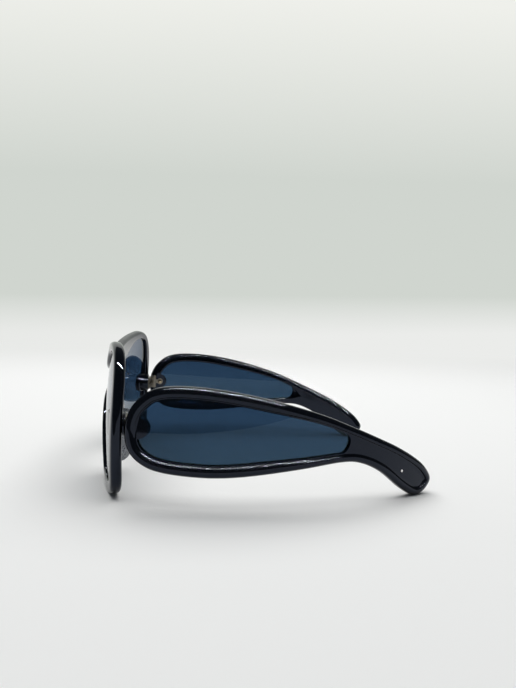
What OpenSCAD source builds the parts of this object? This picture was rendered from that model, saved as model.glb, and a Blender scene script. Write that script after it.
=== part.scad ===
// Oversized sunglasses: a black acetate front with one wrapped lens, and two broad
// teardrop temples that carry side lenses and fold on vertical hinge screws.
// Millimetres, +Z up. The front faces -Y. The origin is on the surface that the
// sunglasses stand on, under the middle of their length and width.

/* [Front] */
// Width of the front from side to side
front_w = 143; // [136:1:150]
// Height of the front from its lower edge to the brow peaks
front_h = 62.4; // [56:0.2:68]
// Thickness of the front's acetate
rim_t = 4.6; // [4.4:0.1:5.4]
// Radius of the sphere that the front and its lens follow
face_r = 235; // [210:5:290]
// Width of the border round the lens, at its lower outer corners
border_w = 5; // [4.4:0.1:5.6]
// Rounding of the border's outer edges
border_round = 1.7; // [1:0.1:2]
// Thickness of the front lens
lens_t = 2; // [1.6:0.1:2.1]
// Depth of the groove that holds the front lens
lens_groove = 1.5; // [1.2:0.1:2]

/* [Temples] */
// Length of a temple from its front end to its tip
temple_l = 131.5; // [124:0.5:140]
// Height of a temple from its tip to its highest point
temple_h = 47.8; // [44:0.2:52]
// Thickness of the temple's acetate
temple_t = 5; // [4.8:0.1:5.6]
// Radius of the temple's bow, seen from above
bow_r = 170; // [150:5:220]
// How far behind the temple's front end the bow is widest
bow_peak = 47.6; // [42:1:56]
// Width of the raised border beside the side lens
bead_w = 4.3; // [3.8:0.1:5]
// Width of the raised border round the tail panel
tail_bead_w = 3; // [2.6:0.1:3.6]
// Rounding of the raised border's outer edge
bead_round = 1.9; // [1.2:0.1:2.2]
// How far the tail panel lies below the raised border
panel_drop = 1.1; // [0.6:0.1:1.3]
// Thickness of a side lens
side_lens_t = 1.6; // [1.2:0.1:1.8]
// Depth of the groove that holds a side lens
side_groove = 1.3; // [1:0.1:1.6]
// Width of the raised border's level crest, before it falls towards the side lens
crest_w = 2.4; // [2.1:0.1:2.5]
// Radius of the hinge lobe that stands into the side window
lobe_r = 4.2; // [3.8:0.1:4.6]

/* [Hinges] */
// Height of the hinges' middle above the surface
hinge_z = 30.6; // [28:0.2:33]
// Height of a whole hinge barrel
barrel_h = 6.6; // [5.4:0.3:7.8]
// Radius of the barrel
barrel_r = 1.6; // [1.4:0.1:1.8]
// Radius of the hinge screw
screw_r = 0.7; // [0.5:0.05:0.9]
// Running clearance of the screw in its bores
screw_fit = 0.03; // [0.02:0.01:0.08]
// Thickness of the hinge plates
plate_t = 0.9; // [0.7:0.1:1.1]

/* [Nose pads] */
// Length of a nose pad
pad_l = 17; // [13:0.5:20]
// Width of a nose pad
pad_w = 6.6; // [5:0.2:8]
// How far a nose pad stands out behind the front
pad_reach = 8; // [5:0.2:9]

/* [Hidden] */
$fn = 48;
// Facets of the large circles and spheres
large_fn = 180;

// Gap between pieces that seat on each other
seat = 0.05;
// Gap between an open temple's front end and the end piece
stop_gap = 0.3;
// Overrun of every cutting shape
cut = 1;

// Steps between two chosen points of the outlines, and beside the hinge lobes
outline_steps = 3;
lobe_steps = 6;
// Distance within which an outline belongs to a hinge lobe, in shares of its radius
lobe_range_share = 2.4;
// Place of an arc's middle point, as a share of its radius
arc_share = 1 - sqrt(1 / 2);

// Front outline from the middle of the brow down one side to the top of the nose
// notch: shares of half the width and of the height
front_shares = [
    [0, 0.923], [0.252, 0.958], [0.503, 0.989], [0.699, 1], [0.845, 0.957],
    [0.941, 0.845], [0.989, 0.69], [1, 0.48], [0.994, 0.256], [0.959, 0.088],
    [0.845, 0.008], [0.62, 0], [0.46, 0.008], [0.385, 0.065], [0.35, 0.175],
    [0.312, 0.31], [0.238, 0.43], [0.13, 0.495], [0, 0.515],
];
// Width of the border at each of those points, as shares of border_w
border_shares = [
    2.4, 2.2, 1.1, 0.8, 0.8, 1, 1.2, 1.3, 1.25, 1.2,
    1, 0.8, 0.75, 0.85, 1, 1.05, 1.05, 1, 1,
];
// Chosen points on either side of the one beside the hinge
hinge_first = 6;
hinge_last = 7;
// Height of the middle of the sphere that the front follows
face_z_share = 0.4;
face_z = face_z_share * front_h;
half_w = front_w / 2;
// Rounding of the border's inner edges, in front of the lens and behind it
inner_round = 0.9;
back_round = 0.7;
// How much nearer the back than the front the lens lies
lens_set = 0.1;
// Grid to which the lens outlines' points are rounded
lens_grid = 0.02;
// Play of the front lens above the groove's floor
lens_play = 0.4;
// Depth of the lens groove below the front face
groove_in = (rim_t - lens_t) / 2 + lens_set;
// Gap between the back of the front's outer ends and the temples' front ends
rim_back_gap = 0.75;
mid_r = face_r - rim_t / 2;
back_share = (face_r - rim_t) / mid_r;
// Foremost point of the sphere that the front face follows
face_y = -rim_back_gap - face_r + back_share * sqrt(mid_r * mid_r - half_w * half_w);

// Temple outline from the front end over the top to the tip and back along the
// lower edge: shares of the length and of the height
temple_shares = [
    [0, 0.62], [0.013, 0.775], [0.043, 0.891], [0.088, 0.971], [0.161, 1],
    [0.279, 0.982], [0.429, 0.909], [0.586, 0.79], [0.69, 0.68], [0.795, 0.554],
    [0.873, 0.45], [0.948, 0.32], [0.987, 0.215], [1, 0.122], [0.975, 0.03], [0.935, 0],
    [0.882, 0.079],
    [0.802, 0.253], [0.728, 0.349], [0.658, 0.366], [0.53, 0.32], [0.346, 0.26],
    [0.227, 0.25], [0.108, 0.28], [0.046, 0.347], [0.01, 0.46],
];
// Chosen points between which the solid tail lies
tail_first = 8;
tail_last = 19;
// Where the raised border starts and ends its taper, as shares of the length
taper_start_share = 0.38;
taper_end_share = 0.66;
// How far the rear end of the side window bows out, as a share of its height there
window_end_share = 0.3;
// Part of the half turn round the window's rear end that its corners leave out
window_corner_share = 0.17;
// Slope and flat ledge between the raised border and the side lens
step_w = 0.35;
ledge_w = 0.35;
// Distance of the hinge lobe's middle behind the temple's front end
lobe_y = 5.6;
// How much nearer the inside than the outside the side lens lies
side_lens_set = 0.3;
side_groove_in = (temple_t - side_lens_t) / 2 + side_lens_set;
// Play of a side lens above the groove's floor
side_lens_play = 0.35;
// How soon the lines along the tail leave its edges: less is sooner
tail_ease_share = 0.14;
// Steps along the tail's faces, and down the raised border's crest
tail_steps = 3;
crest_steps = 3;

// Distance of the temples' front ends from the middle plane, inside the front's ends
end_inset = 1.25;
end_x = half_w - end_inset;
bow_x = end_x - sqrt(bow_r * bow_r - bow_peak * bow_peak);

// Tail pin: its place as shares of the temple's length and height, and its size
pin_y_share = 0.88;
pin_z_share = 0.245;
pin_r = 0.55;
pin_h = 2.4;
pin_proud = 0.15;

// End piece behind the front's outer ends
lug_w = 13;
lug_h = 9.4;
lug_bite = 0.8;
lug_out = half_w - border_round;
// Lobe of the border that carries the end piece
front_lobe_edge = 0.6;
front_lobe_r = lug_h / 2 + front_lobe_edge;
front_lobe_x = lug_out - lug_w + lug_h / 2;
// Hinge axis, a little inside the temple's inner face
hinge_y = 2.5;
barrel_gap = 0.45;
hinge_x = on_bow([hinge_y, 0], temple_t)[0] - barrel_r - barrel_gap;
knuckle_h = barrel_h / 3;
knuckle_gap = 0.06;
// Front hinge plate and its two rivets
plate_inset = 1;
plate_x = lug_out - lug_w + plate_inset;
front_rivet_r = 0.6;
front_rivet_h = 2.8;
front_head_r = 1.05;
front_rivet_step = 3.2;
// Temple hinge plate and its rivet
plate_r = 1.8;
plate_y = 5.4;
rivet_r = 0.7;
rivet_h = 2.6;
head_r = 1.2;
head_h = 0.55;
// Head of the hinge screw
screw_head_r = 1.25;
screw_head_h = 0.6;

// Nose pads: the upper and the lower end of a pad's middle line, as shares of half the
// front's width and of its height
pad_top_shares = [0.33, 0.385];
pad_low_shares = [0.43, 0.035];
// Lean of a pad towards the nose, as a share of its reach
pad_lean_share = 0.35;
pad_rings = 6;
pad_sides = 28;
// Fullness of a pad: 1 is an ellipsoid, less is fuller
pad_fullness_share = 0.5;

acetate = [0.03, 0.03, 0.035];
dark_lens = [0.13, 0.2, 0.31];
lens_alpha = 0.85;
steel = [0.72, 0.72, 0.7];
brass = [0.72, 0.6, 0.4];
pad_colour = [0.45, 0.46, 0.48];

function wrap(i, n) = (i % n + n) % n;

// A smooth curve from b to c that also heeds the points a and d beside them
function blend(a, b, c, d, t) =
    (2 * b + (c - a) * t + (2 * a - 5 * b + 4 * c - d) * t * t
        + (3 * b - a - 3 * c + d) * t * t * t) / 2;

// A smooth closed curve through the points p, in n[i] steps from point i to the next
function curve(p, n) = let (m = len(p)) [
    for (i = [0:m - 1], j = [0:n[i] - 1])
        blend(p[wrap(i - 1, m)], p[i], p[wrap(i + 1, m)], p[wrap(i + 2, m)], j / n[i])
];

// Unit normals that point into a closed curve that runs clockwise
function inward(p) = let (m = len(p)) [
    for (i = [0:m - 1])
        let (t = p[wrap(i + 1, m)] - p[wrap(i - 1, m)]) [t[1], -t[0]] / norm(t)
];

// A whole list from its first half, whose two ends lie on the middle plane
function both_sides(p, flip) = concat(
    p, [for (i = [len(p) - 2:-1:1]) flip ? [-p[i][0], p[i][1]] : p[i]]
);

// A length rounded to the lens outlines' grid
function snap(v) = round(v / lens_grid) * lens_grid;

function smooth(t) = let (u = min(max(t, 0), 1)) u * u * (3 - 2 * u);

// A point of the front: x and z at half its thickness, and the depth below its front
// face. Across the thickness it moves along the sphere's radius.
function on_face(p, depth) =
    let (x = p[0], z = p[1] - face_z, k = (face_r - depth) / mid_r)
    [k * x, face_y + face_r - k * sqrt(mid_r * mid_r - x * x - z * z), face_z + k * z];

// A point of the left temple: y and z at half its thickness, and the depth below its
// outer face, on a bow about an upright axis
function on_bow(p, depth) =
    let (a = asin((p[0] - bow_peak) / bow_r), r = bow_r + temple_t / 2 - depth)
    [bow_x + r * cos(a), bow_peak + r * sin(a), p[1]];

// How far along the direction in a line from p leaves the lobe about m, or nought where
// it misses the lobe or the lobe stands on another side of the outline
function lobe_exit(p, in, m, r) = let (
    away = m - p, aside = away[0] * in[1] - away[1] * in[0]
) norm(away) < lobe_range_share * r && abs(aside) < r ? away * in + sqrt(r * r - aside * aside) : 0;

front_half_steps = [
    for (i = [0:len(front_shares) - 2])
        i >= hinge_first && i <= hinge_last ? lobe_steps : outline_steps
];
front_steps = concat(
    front_half_steps, [for (i = [len(front_half_steps) - 1:-1:0]) front_half_steps[i]]
);
front_line = curve(
    [for (s = both_sides(front_shares, true)) [s[0] * half_w, s[1] * front_h]], front_steps
);
front_in = inward(front_line);
border_ease = curve(both_sides(border_shares, false), front_steps);
// The border goes round the hinge lobes
border = [
    for (i = [0:len(front_line) - 1])
        let (lobe = [sign(front_line[i][0]) * front_lobe_x, hinge_z])
        max(border_ease[i] * border_w, lobe_exit(front_line[i], front_in[i], lobe, front_lobe_r))
];

temple_count = len(temple_shares);
temple_steps = [
    for (i = [0:temple_count - 1])
        i < 2 || i >= temple_count - 2 ? lobe_steps : outline_steps
];
// Number of steps before a chosen point of the temple's outline
function steps_before(i) = i == 0 ? 0 : temple_steps[i - 1] + steps_before(i - 1);
temple_line = curve(
    [for (s = temple_shares) [s[0] * temple_l, s[1] * temple_h]], temple_steps
);
temple_in = inward(temple_line);
tail_from = steps_before(tail_first);
tail_to = steps_before(tail_last);
bead = [
    for (p = temple_line) bead_w + (tail_bead_w - bead_w)
        * smooth((p[0] / temple_l - taper_start_share) / (taper_end_share - taper_start_share))
];
// Where the slope beside the raised border ends
step_line = [
    for (i = [0:len(temple_line) - 1]) temple_line[i] + (bead[i] + step_w) * temple_in[i]
];
// Where the rounding of the inner face's edge ends
rear_line = [
    for (i = [0:len(temple_line) - 1]) temple_line[i] + bead_round * temple_in[i]
];
// The side window's edge beside the border and round the hinge lobe, and its bowed
// rear end before the tail
window_side = [
    for (i = [0:len(temple_line) - 1])
        let (w = max(
            bead[i] + step_w + ledge_w,
            lobe_exit(temple_line[i], temple_in[i], [lobe_y, hinge_z], lobe_r)
        )) temple_line[i] + w * temple_in[i]
];
window_high = window_side[tail_from];
window_low = window_side[tail_to];
window_chord = (window_high - window_low) / 2;
window_bow = window_end_share * [window_chord[1], -window_chord[0]] * 2;
function end_turn(i) =
    let (t = (i - tail_from) / (tail_to - tail_from))
    180 * (t + window_corner_share * (1 - 2 * t));
window_line = [
    for (i = [0:len(temple_line) - 1])
        i <= tail_from || i >= tail_to ? window_side[i]
            : let (a = end_turn(i))
                (window_high + window_low) / 2 + window_chord * cos(a) + window_bow * sin(a)
];
// Direction from the window's edge into the acetate at every station
window_end_in = inward(window_line);
window_out = [
    for (i = [0:len(temple_line) - 1])
        i <= tail_from || i >= tail_to ? -temple_in[i] : -window_end_in[i]
];

// A solid ring from sections that have the same number of points each
module ring_solid(sections) {
    n = len(sections);
    m = len(sections[0]);
    polyhedron(
        points = [for (s = sections) each s],
        faces = [
            for (i = [0:n - 1], j = [0:m - 1], upper = [false, true])
                let (a = i * m + j, b = i * m + (j + 1) % m)
                let (c = (i + 1) % n * m + (j + 1) % m, d = (i + 1) % n * m + j)
                upper ? [a, d, c] : [a, c, b]
        ]
    );
}

// The border's section: distance in from the outline, and depth below the front face
function border_section(w) = let (
    r = border_round, s = arc_share, f = inner_round, b = back_round,
    front = groove_in, back = groove_in + lens_t + 2 * seat
) [
    [0, rim_t - r], [0, r], [s * r, s * r], [r, 0],
    [w - f, 0], [w - s * f, s * f], [w, f],
    [w, front], [w - lens_groove, front], [w - lens_groove, back], [w, back],
    [w, rim_t - b], [w - s * b, rim_t - s * b], [w - b, rim_t],
    [r, rim_t], [s * r, rim_t - s * r],
];

front_rings = [
    for (i = [0:len(front_line) - 1])
        [for (q = border_section(border[i])) on_face(front_line[i] + q[0] * front_in[i], q[1])]
];

module acetate_front() {
    ring_solid(front_rings);
}

// A sphere about the middle of the front's curve, at a depth below the front face
module face_sphere(depth) {
    translate([0, face_y + face_r, face_z])
        sphere(r = face_r - depth, $fn = large_fn);
}

// An outline in x and z, extruded from the rear backwards to before the front
module through_front(rear) {
    translate([0, rear, 0])
        rotate([90, 0, 0])
            linear_extrude(height = rear - face_y + cut)
                children();
}

// Block behind the front's outer end that the temple closes against
module end_piece() {
    intersection() {
        through_front(-stop_gap)
            translate([lug_out - lug_w, hinge_z - lug_h / 2])
                round_ended_plate(lug_w, lug_h);
        face_sphere(rim_t - lug_bite);
    }
}

module round_ended_plate(w, h) {
    r = h / 2;
    union() {
        translate([r, 0])
            square([w - h, h]);
        for (x = [r, w - r])
            translate([x, r])
                circle(r = r);
    }
}

// The two places of the front rivets, in x
front_rivet_xs = [plate_x + front_head_r + seat, plate_x + front_head_r + seat + front_rivet_step];

module left_side() {
    children();
}

module right_side() {
    mirror([1, 0, 0])
        children();
}

module placed() {
    translate([0, -mid_y, -lowest])
        children();
}

module front_rivet_holes() {
    for (x = front_rivet_xs)
        translate([x, -stop_gap + cut, hinge_z])
            rotate([90, 0, 0])
                cylinder(r = front_rivet_r + seat, h = front_rivet_h + seat + cut);
}

module front_rim() {
    color(acetate)
        placed()
            difference() {
                union() {
                    acetate_front();
                    left_side() end_piece();
                    right_side() end_piece();
                }
                left_side() front_rivet_holes();
                right_side() front_rivet_holes();
            }
}

module mask_lens() {
    depth = groove_in + seat;
    outline = [
        for (i = [0:len(front_line) - 1])
            let (w = border[i] - lens_groove + lens_play)
            let (p = on_face(front_line[i] + w * front_in[i], depth + lens_t / 2))
            [snap(p[0]), snap(p[2])]
    ];
    color(dark_lens, lens_alpha)
        placed()
            difference() {
                intersection() {
                    through_front(-stop_gap)
                        polygon(outline);
                    face_sphere(depth);
                }
                face_sphere(depth + lens_t);
            }
}

// A pad swells from an oval base on the front's back face to a rounded top
module pad() {
    top = [pad_top_shares[0] * half_w, pad_top_shares[1] * front_h];
    low = [pad_low_shares[0] * half_w, pad_low_shares[1] * front_h];
    along = (top - low) / norm(top - low);
    across = [-along[1], along[0]];
    middle = (top + low) / 2;
    rings = [
        for (k = [0:pad_rings - 1])
            let (turn = 90 * k / pad_rings, lift = sin(turn), size = pow(cos(turn), pad_fullness_share))
            [
                for (j = [0:pad_sides - 1])
                    let (a = 360 * j / pad_sides)
                    on_face(
                        middle + along * cos(a) * size * pad_l / 2
                            + across * (sin(a) * size * pad_w / 2 + lift * pad_lean_share * pad_reach),
                        rim_t + seat + lift * pad_reach
                    )
            ]
    ];
    base = on_face(middle, rim_t + seat);
    tip = on_face(middle + across * pad_lean_share * pad_reach, rim_t + seat + pad_reach);
    n = pad_rings * pad_sides;
    polyhedron(
        points = concat([for (r = rings) each r], [base, tip]),
        faces = concat(
            [
                for (k = [0:pad_rings - 2], j = [0:pad_sides - 1], upper = [false, true])
                    let (a = k * pad_sides + j, b = k * pad_sides + (j + 1) % pad_sides)
                    upper ? [a, b + pad_sides, a + pad_sides] : [a, b, b + pad_sides]
            ],
            [for (j = [0:pad_sides - 1]) [n, (j + 1) % pad_sides, j]],
            [
                for (j = [0:pad_sides - 1])
                    [n + 1, n - pad_sides + j, n - pad_sides + (j + 1) % pad_sides]
            ]
        )
    );
}

module left_nose_pad() {
    color(pad_colour) placed() left_side() pad();
}

module right_nose_pad() {
    color(pad_colour) placed() right_side() pad();
}

// A knuckle of the barrel, from one height to another above the barrel's foot
module knuckle(from, to) {
    translate([hinge_x, hinge_y, hinge_z - barrel_h / 2 + from])
        cylinder(r = barrel_r, h = to - from);
}

module barrel_bore(clearance) {
    translate([hinge_x, hinge_y, hinge_z - barrel_h / 2 - cut])
        cylinder(r = screw_r + clearance, h = barrel_h + 2 * cut);
}

module front_hinge() {
    floor_y = -stop_gap + seat;
    difference() {
        union() {
            translate([plate_x, floor_y, hinge_z - barrel_h / 2])
                cube([hinge_x - plate_x, plate_t, barrel_h]);
            for (z = [0, 2 * knuckle_h + knuckle_gap]) {
                h = knuckle_h - knuckle_gap;
                knuckle(z, z + h);
                translate([hinge_x - barrel_r, floor_y, hinge_z - barrel_h / 2 + z])
                    cube([barrel_r, hinge_y - floor_y, h]);
            }
        }
        barrel_bore(screw_fit);
        for (x = front_rivet_xs)
            translate([x, floor_y - cut, hinge_z])
                rotate([-90, 0, 0])
                    cylinder(r = front_rivet_r + seat, h = plate_t + 2 * cut);
    }
}

// A round-headed rivet whose shank points down from z = 0
module rivet(shank_r, shank_h, top_r, top_h) {
    // The head is a cap of the sphere that passes its rim and its top
    cap_r = (top_r * top_r + top_h * top_h) / (2 * top_h);
    union() {
        translate([0, 0, -shank_h])
            cylinder(r = shank_r, h = shank_h + top_h / 2);
        intersection() {
            cylinder(r = top_r, h = top_h);
            translate([0, 0, top_h - cap_r])
                sphere(r = cap_r);
        }
    }
}

module front_rivets() {
    for (x = front_rivet_xs)
        translate([x, -stop_gap + 2 * seat + plate_t, hinge_z])
            rotate([-90, 0, 0])
                rivet(front_rivet_r, plate_t + front_rivet_h, front_head_r, head_h / 2 + seat);
}

module hinge_screw() {
    top = hinge_z + barrel_h / 2 + seat;
    difference() {
        union() {
            translate([hinge_x, hinge_y, hinge_z - barrel_h / 2])
                cylinder(r = screw_r, h = barrel_h + seat + screw_head_h / 2);
            translate([hinge_x, hinge_y, top])
                cylinder(r = screw_head_r, h = screw_head_h);
        }
        // Slot for the screwdriver
        translate([hinge_x - screw_head_r - cut, hinge_y - screw_r / 3, top + screw_head_h / 2])
            cube([2 * (screw_head_r + cut), screw_r * 2 / 3, screw_head_h]);
    }
}

module left_front_hinge() {
    color(steel) placed() left_side() front_hinge();
}

module right_front_hinge() {
    color(steel) placed() right_side() front_hinge();
}

module left_front_rivets() {
    color(brass) placed() left_side() front_rivets();
}

module right_front_rivets() {
    color(brass) placed() right_side() front_rivets();
}

module left_hinge_screw() {
    color(steel) placed() left_side() hinge_screw();
}

module right_hinge_screw() {
    color(steel) placed() right_side() hinge_screw();
}

// Middle and half width of the tail between the two sides of a line, n stations behind
// the tail's root
function tail_spread(line, n) = let (
    k = floor(n), t = n - k, top = tail_from + k, low = tail_to - k,
    p = t > 0 ? (1 - t) * line[top] + t * line[top + 1] : line[top],
    q = t > 0 ? (1 - t) * line[low] + t * line[low - 1] : line[low]
) [(p + q) / 2, (p - q) / 2];

// A point on the way from a line's station to a point on the window's edge. In the tail
// it follows the tail's own curve, so that no two ways cross.
function way(line, i, end, t) =
    i <= tail_from || i >= tail_to ? line[i] + (end - line[i]) * t
        : let (
            n = min(i - tail_from, tail_to - i), side = sign(tail_to - i - (i - tail_from)),
            c = cos(end_turn(i)), here = tail_spread(line, n * (1 - t)),
            root = tail_spread(line, 0)
        ) here[0] + here[1] * (c + (side - c) * pow(1 - t, 1 / tail_ease_share))
            + (end - root[0] - root[1] * c) * t;

// The temple's section: points in the outline's plane, and the depth below the outer face
function temple_section(i) = let (
    t = temple_t, r = bead_round, s = arc_share, w = bead[i], f = inner_round,
    front = side_groove_in, back = side_groove_in + side_lens_t + 2 * seat, b = back_round,
    side = temple_line[i], in = temple_in[i], edge = window_line[i], out = window_out[i],
    across = [
        [side, t - r], [side, r], [side + s * r * in, s * r], [side + r * in, 0],
        for (k = [0:crest_steps]) let (a = 90 * k / crest_steps)
            [side + (crest_w + (w - crest_w) * sin(a)) * in, f * (1 - cos(a))],
        for (k = [0:tail_steps]) [way(step_line, i, edge, k / tail_steps), panel_drop],
        [edge, front], [edge + side_groove * out, front],
        [edge + side_groove * out, back], [edge, back], [edge, t - b],
        for (k = [tail_steps:-1:0]) [way(rear_line, i, edge + b * out, k / tail_steps), t],
        [side + s * r * in, t - s * r],
    ]
) [for (q = across) on_bow(q[0], q[1])];

temple_rings = [for (i = [0:len(temple_line) - 1]) temple_section(i)];

// Middle of the length, and height of the lowest point
mid_y = (min([for (r = front_rings, p = r) p[1]]) + max([for (r = temple_rings, p = r) p[1]])) / 2;
lowest = min([for (r = concat(front_rings, temple_rings), p = r) p[2]]);

// Local frame on the temple's middle surface at y and z, with +X outwards
module at_bow(y, z) {
    translate([bow_x, bow_peak, z])
        rotate([0, 0, asin((y - bow_peak) / bow_r)])
            translate([bow_r, 0, 0])
                children();
}

module tail_pin_at() {
    at_bow(pin_y_share * temple_l, pin_z_share * temple_h)
        translate([temple_t / 2 - panel_drop - pin_h, 0, 0])
            rotate([0, 90, 0])
                children();
}

module temple() {
    difference() {
        ring_solid(temple_rings);
        tail_pin_at()
            cylinder(r = pin_r + seat, h = pin_h + cut);
        at_bow(plate_y, hinge_z)
            translate([-temple_t / 2 - cut, 0, 0])
                rotate([0, 90, 0])
                    cylinder(r = rivet_r + seat, h = rivet_h + cut);
    }
}

module side_lens() {
    depth = side_groove_in + seat;
    outline = [
        for (i = [0:len(temple_line) - 1])
            let (p = on_bow(
                window_line[i] + (side_groove - side_lens_play) * window_out[i],
                depth + side_lens_t / 2
            )) [snap(p[1]), snap(p[2])]
    ];
    r = bow_r + temple_t / 2 - depth;
    intersection() {
        rotate([90, 0, 90])
            linear_extrude(height = front_w)
                polygon(outline);
        translate([bow_x, bow_peak, 0])
            difference() {
                cylinder(r = r, h = temple_h, $fn = large_fn);
                translate([0, 0, -cut])
                    cylinder(r = r - side_lens_t, h = temple_h + 2 * cut, $fn = large_fn);
            }
    }
}

module temple_hinge() {
    difference() {
        union() {
            knuckle(knuckle_h, 2 * knuckle_h);
            at_bow(plate_y, hinge_z)
                translate([-temple_t / 2 - seat - plate_t, 0, 0])
                    rotate([0, 90, 0])
                        cylinder(r = plate_r, h = plate_t);
            // Arm from the barrel to the round plate
            at_bow(plate_y, hinge_z - knuckle_h / 2)
                translate([-temple_t / 2 - seat - plate_t, hinge_y - plate_y, 0])
                    cube([plate_t, plate_y - hinge_y, knuckle_h]);
        }
        barrel_bore(screw_fit);
        at_bow(plate_y, hinge_z)
            translate([-temple_t / 2 - seat - plate_t - cut, 0, 0])
                rotate([0, 90, 0])
                    cylinder(r = rivet_r + seat, h = plate_t + 2 * cut);
    }
}

module temple_rivet() {
    at_bow(plate_y, hinge_z)
        translate([-temple_t / 2 - 2 * seat - plate_t, 0, 0])
            rotate([0, -90, 0])
                rivet(rivet_r, plate_t + rivet_h + seat, head_r, head_h);
}

module tail_pin() {
    tail_pin_at()
        translate([0, 0, seat])
            cylinder(r = pin_r, h = pin_h - seat + pin_proud);
}

module left_temple() {
    color(acetate) placed() left_side() temple();
}

module right_temple() {
    color(acetate) placed() right_side() temple();
}

module left_side_lens() {
    color(dark_lens, lens_alpha) placed() left_side() side_lens();
}

module right_side_lens() {
    color(dark_lens, lens_alpha) placed() right_side() side_lens();
}

module left_temple_hinge() {
    color(steel) placed() left_side() temple_hinge();
}

module right_temple_hinge() {
    color(steel) placed() right_side() temple_hinge();
}

module left_temple_rivet() {
    color(brass) placed() left_side() temple_rivet();
}

module right_temple_rivet() {
    color(brass) placed() right_side() temple_rivet();
}

module left_tail_pin() {
    color(steel) placed() left_side() tail_pin();
}

module right_tail_pin() {
    color(steel) placed() right_side() tail_pin();
}

front_rim();
mask_lens();
left_nose_pad();
right_nose_pad();
left_front_hinge();
right_front_hinge();
left_front_rivets();
right_front_rivets();
left_hinge_screw();
right_hinge_screw();
left_temple();
right_temple();
left_side_lens();
right_side_lens();
left_temple_hinge();
right_temple_hinge();
left_temple_rivet();
right_temple_rivet();
left_tail_pin();
right_tail_pin();
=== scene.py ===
import bmesh
import bpy
import numpy as np
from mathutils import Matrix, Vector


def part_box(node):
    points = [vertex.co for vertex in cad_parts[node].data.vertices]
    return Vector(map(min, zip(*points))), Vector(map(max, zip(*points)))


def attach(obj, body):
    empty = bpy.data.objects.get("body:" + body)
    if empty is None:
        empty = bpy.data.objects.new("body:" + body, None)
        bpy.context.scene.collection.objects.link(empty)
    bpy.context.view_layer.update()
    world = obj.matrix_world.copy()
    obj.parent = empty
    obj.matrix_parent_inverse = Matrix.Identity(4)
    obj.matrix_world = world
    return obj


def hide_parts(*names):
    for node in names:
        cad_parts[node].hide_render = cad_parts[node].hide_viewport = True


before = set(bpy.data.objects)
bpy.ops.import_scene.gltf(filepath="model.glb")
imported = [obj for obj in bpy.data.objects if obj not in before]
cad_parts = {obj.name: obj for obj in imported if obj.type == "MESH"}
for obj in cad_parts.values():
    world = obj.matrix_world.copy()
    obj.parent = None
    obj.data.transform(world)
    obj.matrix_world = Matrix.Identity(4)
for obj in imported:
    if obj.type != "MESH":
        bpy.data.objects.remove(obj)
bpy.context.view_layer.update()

MM = 0.001

# Sizes of the acetate, in metres, as the frame has them
FRONT_W = 143 * MM
FRONT_H = 62.4 * MM
RIM_T = 4.6 * MM
FACE_R = 235 * MM
BORDER_W = 5 * MM
BORDER_ROUND = 1.7 * MM
INNER_ROUND = 0.9 * MM
BACK_ROUND = 0.7 * MM
RIM_BACK_GAP = 0.75 * MM
FACE_Z = 0.4 * FRONT_H
TEMPLE_L = 131.5 * MM
TEMPLE_H = 47.8 * MM
TEMPLE_T = 5 * MM
BOW_R = 170 * MM
BOW_PEAK = 47.6 * MM
END_INSET = 1.25 * MM
BEAD_W = 4.3 * MM
TAIL_BEAD_W = 3 * MM
BEAD_ROUND = 1.9 * MM
PANEL_DROP = 1.1 * MM
CREST_W = 2.4 * MM
STEP_W = 0.35 * MM
LEDGE_W = 0.35 * MM

# End pieces behind the front's outer ends, and the border's lobes before them
LUG_W = 13 * MM
LUG_H = 9.4 * MM
LOBE_EDGE = 0.6 * MM
LUG_BITE = 0.8 * MM
LUG_OUT = FRONT_W / 2 - BORDER_ROUND
LUG_SOFT = 0.4 * MM
STOP_GAP = 0.3 * MM

# Nose pads
PAD_L = 17 * MM
PAD_W = 6.6 * MM
PAD_REACH = 8 * MM
PAD_LEAN = 0.35
PAD_FULLNESS = 0.5
PAD_TOP = (0.33, 0.385)
PAD_LOW = (0.43, 0.035)
PAD_SIDES = 64
PAD_RINGS = 24

# Camera: the photograph's frame in pixels, its heading, dip and roll in degrees, and
# its place in the front's own axes
FOCAL_PIXELS = 610
FRAME_HEIGHT = 688
CAMERA_TURNS = (6.215, 3.831, 1.996)
CAMERA_PLACE = np.array([313.14, 25.31, 81.21]) * MM
SENSOR = 36

# Studio paper: ends of its level run, radius of its curve, rise and half width in
# metres, and the points on its run and on its curve
COVE_NEAR, COVE_FAR = 0.23, 1.0
COVE_ROUND, COVE_RISE, COVE_SIDE = 1.2, 0.7, 5.0
COVE_ROWS, COVE_ARC_ROWS = 20, 90
# The near end is askew: metres forwards for each metre to the side, as far as this
COVE_SKEW, COVE_SKEW_Y = 0.36, 0.35
# The wall's painted light starts and is full at these places along x
WALL_FROM, WALL_FULL = -0.25, -0.75
# Height above the floor and painted shade of the wall, and how far its levels lean
WALL_PAINTED_SHADES = [
    (0, "#ebecea"), (0.1, "#d0d5cf"), (0.55, "#d0d5cf"), (1.31, "#eff0eb"),
]
WALL_TILT = -0.03
PAPER, ROOM = "#f4f4f2", "#565a5e"

# Lights: an overhead soft box, and a bar of diodes above the camera's side
LAMP_PLACE, LAMP_SIZE, LAMP_WATTS = (-0.3, 0.0, 1.0), 1.4, 15.4
DIODE_X, DIODE_Z = 0.17, 0.36
DIODE_BAR, DIODE_WIDTH, DIODE_STEP = 0.4, 5 * MM, 5 * MM
DIODE_GLOW = 2400.0

# The hinge lobe is a disc about the rivet
HINGE_Z = 30.6 * MM
LOBE_Y = 5.6 * MM
LOBE_R = 4.2 * MM

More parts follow.
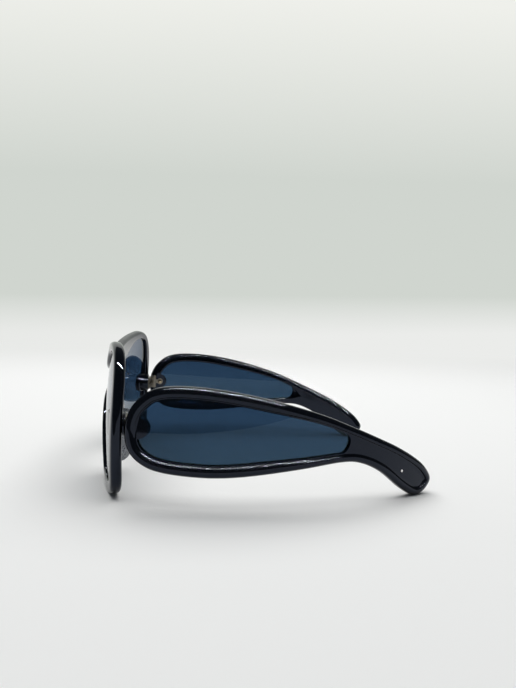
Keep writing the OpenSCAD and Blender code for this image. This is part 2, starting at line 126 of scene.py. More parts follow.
# Lenses: thickness, depth below the acetate's face, and reach into their grooves
LENS_T = 2 * MM
LENS_DEPTH = 1.45 * MM
LENS_GROOVE = 1.5 * MM
SIDE_LENS_T = 1.6 * MM
SIDE_LENS_DEPTH = 2.05 * MM
SIDE_GROOVE = 1.3 * MM
LENS_PLAY = 0.35 * MM
SEAT = 0.05 * MM
# Their spines, as shares of half the front's width and its height, and of a temple's
# length and height
SPINE_END, SPINE_Z, ARCH_END, ARCH_RISE = 0.68, 0.52, 0.42, 0.18
SIDE_SPINE_FROM, SIDE_SPINE_TO, SIDE_SPINE_Z, SIDE_SPINE_FALL = 0.16, 0.62, 0.63, 0.1
LENS_RINGS, SIDE_LENS_RINGS = 14, 10

# Outlines: shares of half the front's width and of its height, with the border's
# width as a share of its narrowest; and shares of a temple's length and height
FRONT_SHARES = [
    (0, 0.923, 2.4), (0.252, 0.958, 2.2), (0.503, 0.989, 1.1), (0.699, 1, 0.8),
    (0.845, 0.957, 0.8), (0.941, 0.845, 1), (0.989, 0.69, 1.2), (1, 0.48, 1.3),
    (0.994, 0.256, 1.25), (0.959, 0.088, 1.2), (0.845, 0.008, 1), (0.62, 0, 0.8),
    (0.46, 0.008, 0.75), (0.385, 0.065, 0.85), (0.35, 0.175, 1), (0.312, 0.31, 1.05),
    (0.238, 0.43, 1.05), (0.13, 0.495, 1), (0, 0.515, 1),
]
TEMPLE_SHARES = [
    (0, 0.62), (0.013, 0.775), (0.043, 0.891), (0.088, 0.971), (0.161, 1),
    (0.279, 0.982), (0.429, 0.909), (0.586, 0.79), (0.69, 0.68), (0.795, 0.554),
    (0.873, 0.45), (0.948, 0.32), (0.987, 0.215), (1, 0.122), (0.975, 0.03), (0.935, 0),
    (0.882, 0.079), (0.802, 0.253), (0.728, 0.349), (0.658, 0.366), (0.53, 0.32),
    (0.346, 0.26), (0.227, 0.25), (0.108, 0.28), (0.046, 0.347), (0.01, 0.46),
]
# Shares at which the tail starts and ends, and stations on each stretch of a curve
TAIL_FIRST = 8
TAIL_LAST = 19
FRONT_STEPS = 14
TEMPLE_STEPS = 12
LOBE_STEPS = 40
ARC_STEPS = 6
PANEL_STEPS = 10
TAIL_EASE = 0.14
WINDOW_CORNER = 0.17
WINDOW_END = 0.3
TAPER_START, TAPER_END = 0.38, 0.66

# Points closer than this are one, edges shorter than this go, and edges sharper than
# this, in degrees, stay crisp
WELD = 1e-6
SLIVER = 1e-7
CRISP = 50

mid_r = FACE_R - RIM_T / 2
half_w = FRONT_W / 2
face_y = -RIM_BACK_GAP - FACE_R + (FACE_R - RIM_T) / mid_r * np.sqrt(mid_r**2 - half_w**2)
bow_x = half_w - END_INSET - np.sqrt(BOW_R**2 - BOW_PEAK**2)


def closed_curve(points, steps):
    """Smooth closed curve through the points. Each stretch is the cubic whose slope at
    both ends is half the chord between the neighbours. steps is the number of
    stations on each stretch."""
    p = np.asarray(points, float)
    steps = np.broadcast_to(steps, len(p))
    stretch = np.repeat(np.arange(len(p)), steps)
    start = np.repeat(np.cumsum(steps) - steps, steps)
    t = ((np.arange(len(stretch)) - start) / steps[stretch])[:, None]
    a, b, c, d = (p[(stretch + k) % len(p)] for k in (-1, 0, 1, 2))
    return (
        2 * b + (c - a) * t + (2 * a - 5 * b + 4 * c - d) * t**2
        + (3 * b - a - 3 * c + d) * t**3
    ) / 2


def inward(line):
    """Unit normals that point into a closed clockwise line: the chord between each
    point's neighbours, turned a quarter clockwise."""
    chord = np.roll(line, -1, 0) - np.roll(line, 1, 0)
    turned = np.stack([chord[:, 1], -chord[:, 0]], 1)
    return turned / np.linalg.norm(turned, axis=1, keepdims=True)


def on_face(flat, depth):
    """Points of the front. flat holds x and z at half its thickness; depth moves them
    along the sphere's radius, counted from the front face."""
    x, z = flat[..., 0], flat[..., 1] - FACE_Z
    k = (FACE_R - depth) / mid_r
    y = face_y + FACE_R - k * np.sqrt(mid_r**2 - x**2 - z**2)
    return np.stack([k * x, y, FACE_Z + k * z], -1)


def on_bow(flat, depth):
    """Points of the left temple. flat holds y and z at half its thickness; depth moves
    them towards the bow's upright axis, counted from the outer face."""
    turn = np.arcsin((flat[..., 0] - BOW_PEAK) / BOW_R)
    r = BOW_R + TEMPLE_T / 2 - depth
    return np.stack(
        [bow_x + r * np.cos(turn), BOW_PEAK + r * np.sin(turn), flat[..., 1]], -1
    )


def rounded(corners):
    """Section line with its corners rounded. A corner is (inset, depth, radius); it
    gives points on the arc that touches both its sides, or itself where the radius
    is nought. Returns the points, and for each the number of its corner."""
    points, owners = [], []
    for i, (x, y, r) in enumerate(corners):
        here = np.array([x, y])
        before = np.array(corners[i - 1][:2]) - here
        after = np.array(corners[(i + 1) % len(corners)][:2]) - here
        before, after = before / np.linalg.norm(before), after / np.linalg.norm(after)
        if r == 0:
            arc = here[None]
        else:
            half = np.arccos(np.clip(before @ after, -1, 1)) / 2
            bisector = (before + after) / np.linalg.norm(before + after)
            centre = here + bisector * r / np.sin(half)
            foot = here + before * r / np.tan(half) - centre
            other = here + after * r / np.tan(half) - centre
            t = np.linspace(0, 1, ARC_STEPS)[:, None]
            spread = np.pi - 2 * half
            arc = centre + (
                foot * np.sin((1 - t) * spread) + other * np.sin(t * spread)
            ) / np.sin(spread)
        points.append(arc)
        owners += [i] * len(arc)
    return np.concatenate(points), np.array(owners)


def shell_faces(grid, around):
    """Corner numbers of the faces of a grid of points. Rows run once round, and each
    row is closed too where around is true. Faces are turned outwards by the sign of
    the volume that they enclose."""
    rows, columns = grid.shape[:2]
    i = np.arange(rows)[:, None]
    j = np.arange(columns if around else columns - 1)[None]
    a, b = i * columns + j, i * columns + (j + 1) % columns
    c, d = (i + 1) % rows * columns + (j + 1) % columns, (i + 1) % rows * columns + j
    quads = np.stack([a, b, c, d], -1).reshape(-1, 4)
    p, q, r, s = np.moveaxis(grid.reshape(-1, 3)[quads], 1, 0)
    volume = np.einsum("ij,ij->i", p, np.cross(q, r) + np.cross(r, s)).sum()
    return quads if volume > 0 else quads[:, ::-1]


def surface(name, points, quads, material):
    """A smooth object with these points and faces, in the scene."""
    mesh = bpy.data.meshes.new(name)
    mesh.from_pydata(points.tolist(), [], quads.tolist())
    mesh.polygons.foreach_set("use_smooth", np.ones(len(mesh.polygons), bool))
    mesh.materials.append(material)
    obj = bpy.data.objects.new(name, mesh)
    bpy.context.scene.collection.objects.link(obj)
    return obj


def piece(name, shells, material, body, node):
    """One object from several closed shells, each (grid, closed rows or not). It rides
    on the body and stands for the node."""
    points, faces = [], []
    for grid, around in shells:
        faces.append(shell_faces(grid, around) + sum(len(p) for p in points))
        points.append(grid.reshape(-1, 3))
    obj = surface(name, np.concatenate(points), np.concatenate(faces), material)
    weld(obj.data)
    obj.data.set_sharp_from_angle(angle=np.radians(CRISP))
    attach(obj, body)
    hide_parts(node)


def weld(mesh):
    """Merges points that share a place, and drops the faces that lose their area."""
    work = bmesh.new()
    work.from_mesh(mesh)
    bmesh.ops.remove_doubles(work, verts=work.verts, dist=WELD)
    bmesh.ops.dissolve_degenerate(work, edges=work.edges, dist=SLIVER)
    work.to_mesh(mesh)
    work.free()


# Materials


def linear(hex_colour):
    """A linear colour with alpha from an sRGB hex value."""
    c = np.array([int(hex_colour[k:k + 2], 16) for k in (1, 3, 5)]) / 255
    low = c / 12.92
    high = ((c + 0.055) / 1.055) ** 2.4
    return (*np.where(c <= 0.04045, low, high).tolist(), 1.0)


def new_material(name, values):
    """A node material with these values on its Principled shader. Also its tree, that
    shader and the Object coordinates."""
    material = bpy.data.materials.new(name)
    material.use_nodes = True
    tree = material.node_tree
    shader = tree.nodes["Principled BSDF"]
    for socket, value in values.items():
        shader.inputs[socket].default_value = value
    return material, tree, shader, add(tree, "ShaderNodeTexCoord").outputs["Object"]


def add(tree, kind, settings=None):
    """Adds a node. Each setting is one of its properties, the value of a socket, or
    another node's output, which is linked to the socket."""
    node = tree.nodes.new(kind)
    for key, value in (settings or {}).items():
        if isinstance(value, bpy.types.NodeSocket):
            tree.links.new(value, node.inputs[key])
        elif isinstance(key, int) or key in node.inputs:
            node.inputs[key].default_value = value
        else:
            setattr(node, key, value)
    return node


def polished_acetate():
    """Cellulose acetate, milled, tumbled and buffed: blue-black with a wet gloss. The
    buffing leaves a faint waviness, and handling a little haze."""
    material, tree, shader, place = new_material("polished black acetate", {
        "Base Color": linear("#05070b"), "IOR": 1.48, "Specular IOR Level": 0.4,
        "Specular Tint": linear("#d0deff"),
    })
    haze = add(tree, "ShaderNodeTexNoise", {
        "Scale": 1 / (14 * MM), "Detail": 3.0, "Vector": place,
    })
    gloss = add(tree, "ShaderNodeMapRange", {
        "From Min": 0.35, "From Max": 0.7, "To Min": 0.03, "To Max": 0.07,
        "Value": haze.outputs["Fac"],
    })
    tree.links.new(gloss.outputs["Result"], shader.inputs["Roughness"])
    wave = add(tree, "ShaderNodeTexNoise", {
        "Scale": 1 / (7 * MM), "Detail": 1.0, "Vector": place,
    })
    bump = add(tree, "ShaderNodeBump", {
        "Strength": 0.25, "Distance": 0.05 * MM, "Height": wave.outputs["Fac"],
    })
    tree.links.new(bump.outputs["Normal"], shader.inputs["Normal"])
    return material


def tinted_lens():
    """Injection-moulded lens, dyed through in blue-grey and hard coated: clear enough
    to see through, with a sharp reflection on both faces. Its colour turns a little
    bluer from its foot to its top: painted reflection, standing in for the floor
    seen in its lower part."""
    # Polycarbonate has an IOR of 1.58, and the coat against reflections takes most of
    # its reflection away
    material, tree, shader, place = new_material("blue-grey tinted lens", {
        "IOR": 1.33, "Specular Tint": linear("#d2f3ff"), "Roughness": 0.0,
        "Transmission Weight": 1.0,
    })
    height = add(tree, "ShaderNodeSeparateXYZ", {"Vector": place})
    # The blue-grey is the dye; its shift with height is painted reflection of the floor
    painted_reflection_share = add(tree, "ShaderNodeMapRange", {
        "From Min": 8 * MM, "From Max": 52 * MM, "Value": height.outputs["Z"],
    })
    dye_and_painted_reflection = add(tree, "ShaderNodeMix", {
        "data_type": "RGBA", 0: painted_reflection_share.outputs["Result"], 6: linear("#293f52"),
        7: linear("#263d59"),
    })
    tree.links.new(dye_and_painted_reflection.outputs[2], shader.inputs["Base Color"])
    return material


def clear_pad():
    """Moulded silicone, smoky and half clear, with a soft surface."""
    material, tree, shader, place = new_material("smoky silicone", {
        "Base Color": linear("#8d9096"), "IOR": 1.42, "Transmission Weight": 0.6,
    })
    grain = add(tree, "ShaderNodeTexNoise", {
        "Scale": 1 / (0.8 * MM), "Detail": 2.0, "Vector": place,
    })
    soft = add(tree, "ShaderNodeMapRange", {
        "To Min": 0.22, "To Max": 0.34, "Value": grain.outputs["Fac"],
    })
    tree.links.new(soft.outputs["Result"], shader.inputs["Roughness"])
    return material


def metal(name, colour, rough, grain):
    """Metal with fine turning marks: a noise drawn out round the upright axis, eight
    times as fine along it. The marks' crests are partly dulled to a plain grey."""
    material, tree, shader, place = new_material(name, {"Metallic": 1.0})
    marks = add(tree, "ShaderNodeMapping", {"Scale": (1, 1, 8), "Vector": place})
    noise = add(tree, "ShaderNodeTexNoise", {
        "Scale": 1 / grain, "Detail": 3.0, "Vector": marks.outputs["Vector"],
    })
    wear = add(tree, "ShaderNodeMapRange", {
        "From Min": 0.5, "From Max": 0.8, "To Max": 0.35, "Value": noise.outputs["Fac"],
    })
    shade = add(tree, "ShaderNodeMix", {
        "data_type": "RGBA", 0: wear.outputs["Result"], 6: linear(colour),
        7: linear("#8c8a86"),
    })
    tree.links.new(shade.outputs[2], shader.inputs["Base Color"])
    gloss = add(tree, "ShaderNodeMapRange", {
        "To Min": rough * 0.7, "To Max": rough * 1.4, "Value": noise.outputs["Fac"],
    })
    tree.links.new(gloss.outputs["Result"], shader.inputs["Roughness"])
    bump = add(tree, "ShaderNodeBump", {
        "Strength": 0.3, "Distance": 0.02 * MM, "Height": noise.outputs["Fac"],
    })
    tree.links.new(bump.outputs["Normal"], shader.inputs["Normal"])
    return material


ACETATE = polished_acetate()
LENS = tinted_lens()
PAD = clear_pad()
# Nickel silver, turned and tumbled: a warm grey with a soft shine
NICKEL = metal("nickel silver", "#8d877c", 0.3, 0.5 * MM)
# The same alloy, drawn and polished flush with the acetate, with its colour lightened
# almost to white: a painted highlight that makes the pin a point of light
PAINTED_HIGHLIGHT_NICKEL = metal("nickel silver, painted highlight", "#efedea", 0.3, 0.5 * MM)
# Brass, headed and plated: pale gold
BRASS = metal("pale brass", "#b9a98b", 0.22, 0.6 * MM)


# The front


def front_outline():
    """Clockwise outline of the front in x and z, and the border's width along it: the
    half list of shares, then its mirror image."""
    half = np.array(FRONT_SHARES)
    other = half[-2:0:-1] * [-1, 1, 1]
    whole = closed_curve(np.concatenate([half, other]), FRONT_STEPS)
    return whole[:, :2] * [half_w, FRONT_H], whole[:, 2] * BORDER_W


def front_grid():
    """The border's rounded section, carried round the outline. Points past the middle
    of the section keep their distance from its inner edge."""
    line, width = front_outline()
    w = BORDER_W
    back = LENS_DEPTH + LENS_T + SEAT
    corners = [
        (0, RIM_T, BORDER_ROUND), (0, 0, BORDER_ROUND), (w, 0, INNER_ROUND),
        (w, LENS_DEPTH - SEAT, 0), (w - LENS_GROOVE, LENS_DEPTH - SEAT, 0),
        (w - LENS_GROOVE, back, 0), (w, back, 0), (w, RIM_T, BACK_ROUND),
    ]
    section, owner = rounded(corners)
    inner = owner >= 2
    inset = section[None, :, 0] + inner * (width[:, None] - w)
    flat = line[:, None] + inset[..., None] * inward(line)[:, None]
    return on_face(flat, section[None, :, 1])


# The temples


# The stretch of a temple's outline beside the lobe takes more stations
near_lobe = [0, 1, len(TEMPLE_SHARES) - 2, len(TEMPLE_SHARES) - 1]
temple_steps = np.full(len(TEMPLE_SHARES), TEMPLE_STEPS)
temple_steps[near_lobe] = LOBE_STEPS
temple_line = closed_curve(TEMPLE_SHARES, temple_steps) * [TEMPLE_L, TEMPLE_H]
temple_in = inward(temple_line)
first_station = np.cumsum(temple_steps) - temple_steps
tail_from, tail_to = first_station[TAIL_FIRST], first_station[TAIL_LAST]
station = np.arange(len(temple_line))
in_tail = (station > tail_from) & (station < tail_to)


def bead_width():
    """Width of the raised border: it tapers to the tail in a smooth cubic step."""
    t = (temple_line[:, 0] / TEMPLE_L - TAPER_START) / (TAPER_END - TAPER_START)
    t = np.clip(t, 0, 1)
    return BEAD_W + (TAIL_BEAD_W - BEAD_W) * t * t * (3 - 2 * t)


def lobe_exit():
    """How far along each inward normal the hinge lobe's circle is left behind: the
    middle's place along the normal plus half the chord, or nought where it misses."""
    away = np.array([LOBE_Y, HINGE_Z]) - temple_line
    along = (away * temple_in).sum(1)
    aside = np.abs(away[:, 0] * temple_in[:, 1] - away[:, 1] * temple_in[:, 0])
    half = np.sqrt(np.clip(LOBE_R**2 - aside**2, 0, None))
    return np.where((aside < LOBE_R) & (temple_line[:, 0] < BOW_PEAK), along + half, 0)


bead = bead_width()[:, None]
foot_line = temple_line + (bead + STEP_W) * temple_in
rear_line = temple_line + BEAD_ROUND * temple_in


def window():
    """The side window's edge: beside the border it keeps a ledge's distance or goes
    round the lobe, and before the tail it is half an ellipse. Also the angle round
    that half ellipse at every station."""
    reach = np.maximum(bead[:, 0] + STEP_W + LEDGE_W, lobe_exit())
    edge = temple_line + reach[:, None] * temple_in
    t = (station - tail_from) / (tail_to - tail_from)
    turn = np.pi * (t + WINDOW_CORNER * (1 - 2 * t))
    high, low = edge[tail_from], edge[tail_to]
    chord = (high - low) / 2
    bulge = 2 * WINDOW_END * np.array([chord[1], -chord[0]])
    round_end = (
        (high + low) / 2 + np.cos(turn)[:, None] * chord + np.sin(turn)[:, None] * bulge
    )
    return np.where(in_tail[:, None], round_end, edge), turn


window_line, end_turn = window()
window_out = np.where(in_tail[:, None], -inward(window_line), -temple_in)


def ways(line, end):
    """Lines from a line's stations to the window's edge, as a grid. Beside the window
    they are straight. In the tail they run forwards between its two sides: a station
    starts on its own side and nears the middle by a high power of what is left, so
    that no two lines cross."""
    t = np.linspace(0, 1, PANEL_STEPS)
    straight = line[:, None] + (end - line)[:, None] * t[:, None]
    behind = np.minimum(station - tail_from, tail_to - station)[:, None] * (1 - t)
    behind = np.clip(behind, 0, (tail_to - tail_from) / 2)
    places = np.arange(len(line))

    def at(where):
        return np.stack([np.interp(where, places, line[:, k]) for k in (0, 1)], -1)

    top, low = at(tail_from + behind), at(tail_to - behind)
    side = np.sign(tail_from + tail_to - 2 * station)[:, None]
    c = np.cos(end_turn)[:, None]
    share = c + (side - c) * (1 - t) ** (1 / TAIL_EASE)
    root = (line[tail_from] + line[tail_to]) / 2 + c * (line[tail_from] - line[tail_to]) / 2
    curved = (
        (top + low) / 2 + share[..., None] * (top - low) / 2
        + (end - root)[:, None] * t[:, None]
    )
    return np.where(in_tail[:, None, None], curved, straight)


def temple_grid():
    """The left temple's section, carried round its outline: a rounded outer edge, a
    level crest that falls as a quarter ellipse, a step down to the ledge or the tail's
    panel, the lens groove, and a flat inner face."""
    turn = np.linspace(0, np.pi / 2, ARC_STEPS)
    far, near = 1 - np.sin(turn), 1 - np.cos(turn)
    edge = np.concatenate([BEAD_ROUND * far, BEAD_ROUND * near])
    fall = CREST_W + (bead - CREST_W) * np.sin(turn)
    inset = np.concatenate([np.broadcast_to(edge, (len(bead), len(edge))), fall], 1)
    border = temple_line[:, None] + inset[..., None] * temple_in[:, None]
    border_depth = np.concatenate(
        [TEMPLE_T - BEAD_ROUND * near, BEAD_ROUND * far, INNER_ROUND * near]
    )
    back = SIDE_LENS_DEPTH + SIDE_LENS_T + SEAT
    panel = ways(foot_line, window_line)
    rear = ways(rear_line, window_line + BACK_ROUND * window_out)[:, :0:-1]
    groove = [
        (0, SIDE_LENS_DEPTH - SEAT), (SIDE_GROOVE, SIDE_LENS_DEPTH - SEAT),
        (SIDE_GROOVE, back), (0, back), (0, TEMPLE_T - BACK_ROUND),
    ]
    walls = np.stack([window_line + reach * window_out for reach, _ in groove], 1)
    flat = np.concatenate([border, panel, walls, rear], 1)
    depth = np.concatenate([
        border_depth, np.full(PANEL_STEPS, PANEL_DROP), [d for _, d in groove],
        np.full(PANEL_STEPS - 1, TEMPLE_T),
    ])
    return on_bow(flat, np.broadcast_to(depth, flat.shape[:2]))


# The lenses


def shell(edge, spine, place, near, far, rings):
    """A lens: rings shrink from its edge to the spine points, on the near face and
    back out on the far one, and place lays them on their surface at a depth."""
    t = np.linspace(0, 1, rings)[:, None]
    face = spine[:, None] + (edge - spine)[:, None] * t
    flat = np.concatenate([face, face[:, ::-1]], 1)
    depth = np.repeat([near, far], rings)
    return place(flat, np.broadcast_to(depth, flat.shape[:2]))


def front_lens_grid():
    """The wrapped lens. Its spine runs level behind each half and arches over the nose
    as a squared cosine."""
    line, width = front_outline()
    edge = line + (width - LENS_GROOVE + LENS_PLAY)[:, None] * inward(line)
    x = np.clip(edge[:, 0], -SPINE_END * half_w, SPINE_END * half_w)
    arch = np.cos(np.clip(x / (ARCH_END * half_w), -1, 1) * np.pi / 2) ** 2
    spine = np.stack([x, FRONT_H * (SPINE_Z + ARCH_RISE * arch)], 1)
    return shell(edge, spine, on_face, LENS_DEPTH, LENS_DEPTH + LENS_T, LENS_RINGS)


def side_lens_grid():
    """A side lens: its spine runs straight from near the lobe to near the tail."""
    edge = window_line + (SIDE_GROOVE - LENS_PLAY) * window_out
    y = np.clip(edge[:, 0], SIDE_SPINE_FROM * TEMPLE_L, SIDE_SPINE_TO * TEMPLE_L)
    fall = SIDE_SPINE_FALL * (y / TEMPLE_L) / SIDE_SPINE_TO
    spine = np.stack([y, TEMPLE_H * (SIDE_SPINE_Z - fall)], 1)
    back = SIDE_LENS_DEPTH + SIDE_LENS_T
    return shell(edge, spine, on_bow, SIDE_LENS_DEPTH, back, SIDE_LENS_RINGS)


# Pieces behind the front


def round_ended(width, height):
    """Outline in x and z with half circles for ends, about the hinge's height. Its outer
    end is where the border's rounding starts. Also the middle of that outline."""
    r = height / 2
    turn = np.linspace(-np.pi / 2, np.pi / 2, 4 * ARC_STEPS)
    end = np.stack([np.cos(turn), np.sin(turn)], 1) * r
    middle = np.array([LUG_OUT - width / 2, HINGE_Z])
    half = np.array([width / 2 - r, 0])
    return np.concatenate([middle + half + end, middle - half - end]), middle


def lobe_grid():
    """Lobe of the border before the end piece: a round-ended plate as thick as the
    border, whose edges are rounded as quarter circles."""
    outline, middle = round_ended(LUG_W + LOBE_EDGE, LUG_H + 2 * LOBE_EDGE)
    turn = np.linspace(0, np.pi / 2, ARC_STEPS)
    bend = np.append(1, 1 - np.sin(turn))
    inset = np.concatenate([INNER_ROUND * bend, BACK_ROUND * bend[::-1]])
    inset[[0, -1]] = LUG_H / 2 + LOBE_EDGE
    depth = SEAT + np.concatenate([
        [0], INNER_ROUND * (1 - np.cos(turn)),
        RIM_T - 2 * SEAT - BACK_ROUND * (1 - np.cos(turn[::-1])), [RIM_T - 2 * SEAT],
    ])
    share = 1 - inset / (LUG_H / 2 + LOBE_EDGE)
    flat = middle + (outline - middle)[:, None] * share[:, None]
    return on_face(flat, np.broadcast_to(depth, flat.shape[:2]))


def end_piece_grid():
    """Block behind the front's outer end: a round-ended plate, from the sphere just
    inside the border's back to a flat rear with softened edges."""
    outline, middle = round_ended(LUG_W, LUG_H)
    turn = np.linspace(0, np.pi / 2, ARC_STEPS)
    inset = LUG_SOFT * np.concatenate([[0], 1 - np.cos(turn)])
    share = 1 - inset / (LUG_H / 2)
    rear = -STOP_GAP - LUG_SOFT + LUG_SOFT * np.sin(turn)
    loops = middle + (outline - middle)[:, None] * np.append(share, 0)[:, None]
    front = on_face(outline[:, None], np.full((len(outline), 1), RIM_T - LUG_BITE))
    behind = np.broadcast_to(np.append(rear, rear[-1]), (len(outline), ARC_STEPS + 1))
    y = np.concatenate([front[:, :, 1], behind], 1)
    grid = np.stack([loops[..., 0], y, loops[..., 1]], -1)
    cap = on_face(middle[None], RIM_T - LUG_BITE)
    return np.concatenate([np.broadcast_to(cap, (len(outline), 1, 3)), grid], 1)


def pad_grid():
    """A nose pad: an oval base on the front's back face that swells out to a rounded
    top. Rings rise with the sine and shrink with a power of the cosine."""
    top = np.array(PAD_TOP) * [half_w, FRONT_H]
    low = np.array(PAD_LOW) * [half_w, FRONT_H]
    along = (top - low) / np.linalg.norm(top - low)
    across = np.array([-along[1], along[0]])
    round_ = np.linspace(0, 2 * np.pi, PAD_SIDES, endpoint=False)[:, None]
    rise = np.linspace(0, np.pi / 2, PAD_RINGS)
    lift = np.append(0, np.sin(rise))
    size = np.append(0, np.clip(np.cos(rise), 0, 1) ** PAD_FULLNESS)
    u = np.cos(round_) * size * PAD_L / 2
    v = np.sin(round_) * size * PAD_W / 2 + lift * PAD_LEAN * PAD_REACH
    flat = (top + low) / 2 + u[..., None] * along + v[..., None] * across
    return on_face(flat, RIM_T + SEAT + np.broadcast_to(lift, u.shape) * PAD_REACH)


front_shell = front_grid()
# The frame stands on the plane z = 0, and the middle of its length is at y = 0
front_low = np.array(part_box("front_rim")[0])
to_frame = np.array([
    0, front_low[1] - front_shell[..., 1].min(), -front_shell[..., 2].min(),
])


def settled(grid, side=1):
    """A grid in the frame's own place. side is 1 for the wearer's left, -1 for right."""
    return (grid + to_frame) * [side, 1, 1]


ends = [
    (settled(grid, side), False)
    for grid in (lobe_grid(), end_piece_grid()) for side in (1, -1)
]
piece("acetate_front", [(settled(front_shell), True), *ends], ACETATE, "front", "front_rim")
piece("wrapped_lens", [(settled(front_lens_grid()), False)], LENS, "front", "mask_lens")
for side, name in ((1, "left"), (-1, "right")):
    arm = name + "_arm"
    piece(name + "_acetate_temple", [(settled(temple_grid(), side), True)], ACETATE, arm,
          name + "_temple")
    piece(name + "_tinted_lens", [(settled(side_lens_grid(), side), False)], LENS, arm,
          name + "_side_lens")
    piece(name + "_silicone_pad", [(settled(pad_grid(), side), False)], PAD, "front",
          name + "_nose_pad")

# The nodes of each metal, on both sides
FINISHES = {
    NICKEL: ["front_hinge", "hinge_screw", "temple_hinge"],
    PAINTED_HIGHLIGHT_NICKEL: ["tail_pin"],
    BRASS: ["front_rivets", "temple_rivet"],
}
for material, kinds in FINISHES.items():
    for node_name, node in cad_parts.items():
        if node_name.split("_", 1)[1] in kinds:
            node.data.materials.clear()
            node.data.materials.append(material)


# Studio


def stage_piece(name, x, y, z, material):
    """A sheet of the studio on a grid of rows along x and columns along y."""
    points = np.stack(np.broadcast_arrays(x, y[None], z), -1)
    rows, columns = points.shape[:2]
    i, j = np.arange(rows - 1)[:, None], np.arange(columns - 1)[None]
    first = i * columns + j
    quads = np.stack([first, first + columns, first + columns + 1, first + 1], -1)
    surface(name, points.reshape(-1, 3), quads.reshape(-1, 4), material)


def paper():
    """White studio paper, matt. Up the wall the camera, reflections and lenses see it
    glow whatever the lamps do, in painted shades that stand in for how light falls
    on it: lighter at its foot and top, darker between."""
    material, tree, shader, place = new_material("white studio paper", {
        "Base Color": linear(PAPER), "Roughness": 0.8, "Specular IOR Level": 0.0,
    })
    # The camera leans, and the shades lie level in its picture
    height = add(tree, "ShaderNodeVectorMath", {
        "operation": "DOT_PRODUCT", 0: place, 1: (0, WALL_TILT, 1),
    })
    top = WALL_PAINTED_SHADES[-1][0]
    up = add(tree, "ShaderNodeMapRange", {
        "From Max": top, "Value": height.outputs["Value"],
    })
    ramp = add(tree, "ShaderNodeValToRGB", {"Fac": up.outputs["Result"]})
    stops = ramp.color_ramp.elements
    for z, _ in WALL_PAINTED_SHADES[1:-1]:
        stops.new(z / top)
    for stop, (_, colour) in zip(stops, WALL_PAINTED_SHADES):
        stop.color = linear(colour)
    # Painted light and shade: the wall glows in the ramp's shades
    glow = add(tree, "ShaderNodeEmission", {"Color": ramp.outputs["Color"]})
    ray = add(tree, "ShaderNodeLightPath").outputs
    seen = ray["Is Camera Ray"]
    for kind in ("Is Glossy Ray", "Is Transmission Ray"):
        seen = add(tree, "ShaderNodeMath", {
            "operation": "ADD", "use_clamp": True, 0: seen, 1: ray[kind],
        }).outputs[0]
    run = add(tree, "ShaderNodeSeparateXYZ", {"Vector": place})
    rise = add(tree, "ShaderNodeMapRange", {
        "interpolation_type": "SMOOTHSTEP", "From Min": WALL_FROM, "From Max": WALL_FULL,
        "Value": run.outputs["X"],
    })
    share = add(tree, "ShaderNodeMath", {
        "operation": "MULTIPLY", 0: seen, 1: rise.outputs["Result"],
    })
    both = add(tree, "ShaderNodeMixShader", {
        "Fac": share.outputs[0], 1: shader.outputs[0], 2: glow.outputs[0],
    })
    tree.links.new(both.outputs[0], tree.nodes["Material Output"].inputs["Surface"])
    return material


def cove():
    """Paper that curves up into a wall: a straight run from its near end, which lies
    askew, then a quarter circle and a straight rise."""
    y = np.array([-COVE_SIDE, -COVE_SKEW_Y, COVE_SKEW_Y, COVE_SIDE])
    near = COVE_NEAR + COVE_SKEW * np.clip(y, -COVE_SKEW_Y, COVE_SKEW_Y)
    share = np.linspace(0, 1, COVE_ROWS)[:, None]
    run = (1 - share) * near - share * COVE_FAR
    turn = np.linspace(0, np.pi / 2, COVE_ARC_ROWS)[1:, None] + 0 * y
    back = 0 * y[None] - COVE_FAR - COVE_ROUND
    x = np.concatenate([run, -COVE_FAR - COVE_ROUND * np.sin(turn), back])
    top = 0 * y[None] + COVE_ROUND + COVE_RISE
    z = np.concatenate([0 * run, COVE_ROUND * (1 - np.cos(turn)), top])
    stage_piece("cove", x, y, z, paper())


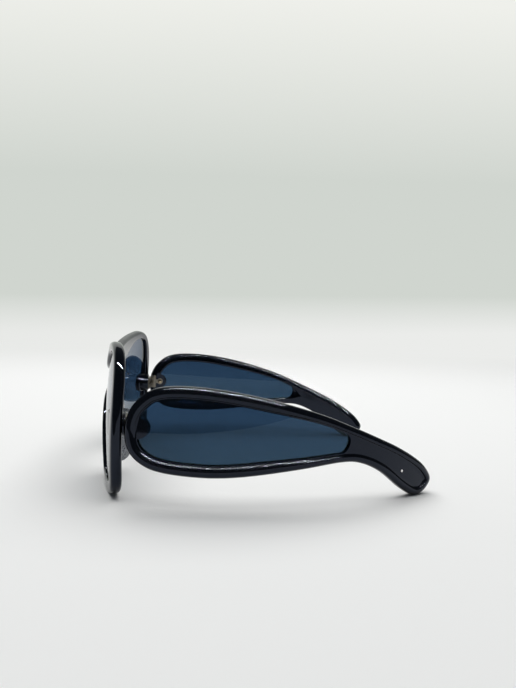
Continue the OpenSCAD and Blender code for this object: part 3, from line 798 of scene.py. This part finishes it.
def diodes():
    """Bar of diodes above the camera's side of the paper, along y, for the glint on
    the polished edges alone. Its glow comes and goes once for each diode, as the
    fourth power of a sine."""
    material, tree, _, place = new_material("bar of white diodes", {})
    value = add(tree, "ShaderNodeSeparateXYZ", {"Vector": place}).outputs["Y"]
    ray = add(tree, "ShaderNodeLightPath").outputs["Is Glossy Ray"]
    for step in (
        {"operation": "MULTIPLY", 1: np.pi / DIODE_STEP},
        {"operation": "SINE"},
        {"operation": "POWER", 1: 4.0},
        {"operation": "MULTIPLY", 1: DIODE_GLOW},
        {"operation": "MULTIPLY", 1: ray},
    ):
        value = add(tree, "ShaderNodeMath", {0: value, **step}).outputs[0]
    light = add(tree, "ShaderNodeEmission", {"Color": linear("#fff8e8"), "Strength": value})
    tree.links.new(light.outputs[0], tree.nodes["Material Output"].inputs["Surface"])
    x = DIODE_X + np.array([1, -1])[:, None] * DIODE_WIDTH / 2
    y = np.array([-1, 1]) * DIODE_BAR / 2
    stage_piece("diodes", x, y, DIODE_Z, material)


def soft_box():
    """Square soft box overhead that faces straight down. Polished faces don't show
    it."""
    light = bpy.data.lights.new("overhead soft box", "AREA")
    light.size = LAMP_SIZE
    light.energy = LAMP_WATTS
    obj = bpy.data.objects.new("overhead soft box", light)
    obj.location = LAMP_PLACE
    obj.visible_glossy = False
    bpy.context.scene.collection.objects.link(obj)


def camera():
    """The camera at the wearer's left, a little behind the front and looking slightly
    down: heading, dip and roll turn its axes in that order."""
    heading, dip, roll = np.radians(CAMERA_TURNS)
    ahead = np.array([-np.cos(heading), np.sin(heading), 0])
    right = np.array([np.sin(heading), np.cos(heading), 0])
    up = np.array([0, 0, 1])
    look = ahead * np.cos(dip) - up * np.sin(dip)
    over = up * np.cos(dip) + ahead * np.sin(dip)
    matrix = np.eye(4)
    matrix[:3, 0] = right * np.cos(roll) + over * np.sin(roll)
    matrix[:3, 1] = over * np.cos(roll) - right * np.sin(roll)
    matrix[:3, 2] = -look
    matrix[:3, 3] = CAMERA_PLACE + to_frame
    data = bpy.data.cameras.new("camera")
    data.sensor_width = SENSOR
    data.lens = FOCAL_PIXELS / FRAME_HEIGHT * SENSOR
    data.clip_start = 0.01
    obj = bpy.data.objects.new("camera", data)
    obj.matrix_world = matrix.T.tolist()
    bpy.context.scene.collection.objects.link(obj)
    bpy.context.scene.camera = obj


def studio_air():
    """Air of the room round the lit paper: one plain grey for every kind of ray, so
    that the camera, the lenses and polished faces all find the same room."""
    world = bpy.data.worlds.new("studio")
    world.use_nodes = True
    world.node_tree.nodes["Background"].inputs["Color"].default_value = linear(ROOM)
    bpy.context.scene.world = world


cove()
diodes()
camera()
studio_air()
soft_box()
bpy.context.scene.view_settings.view_transform = "Standard"
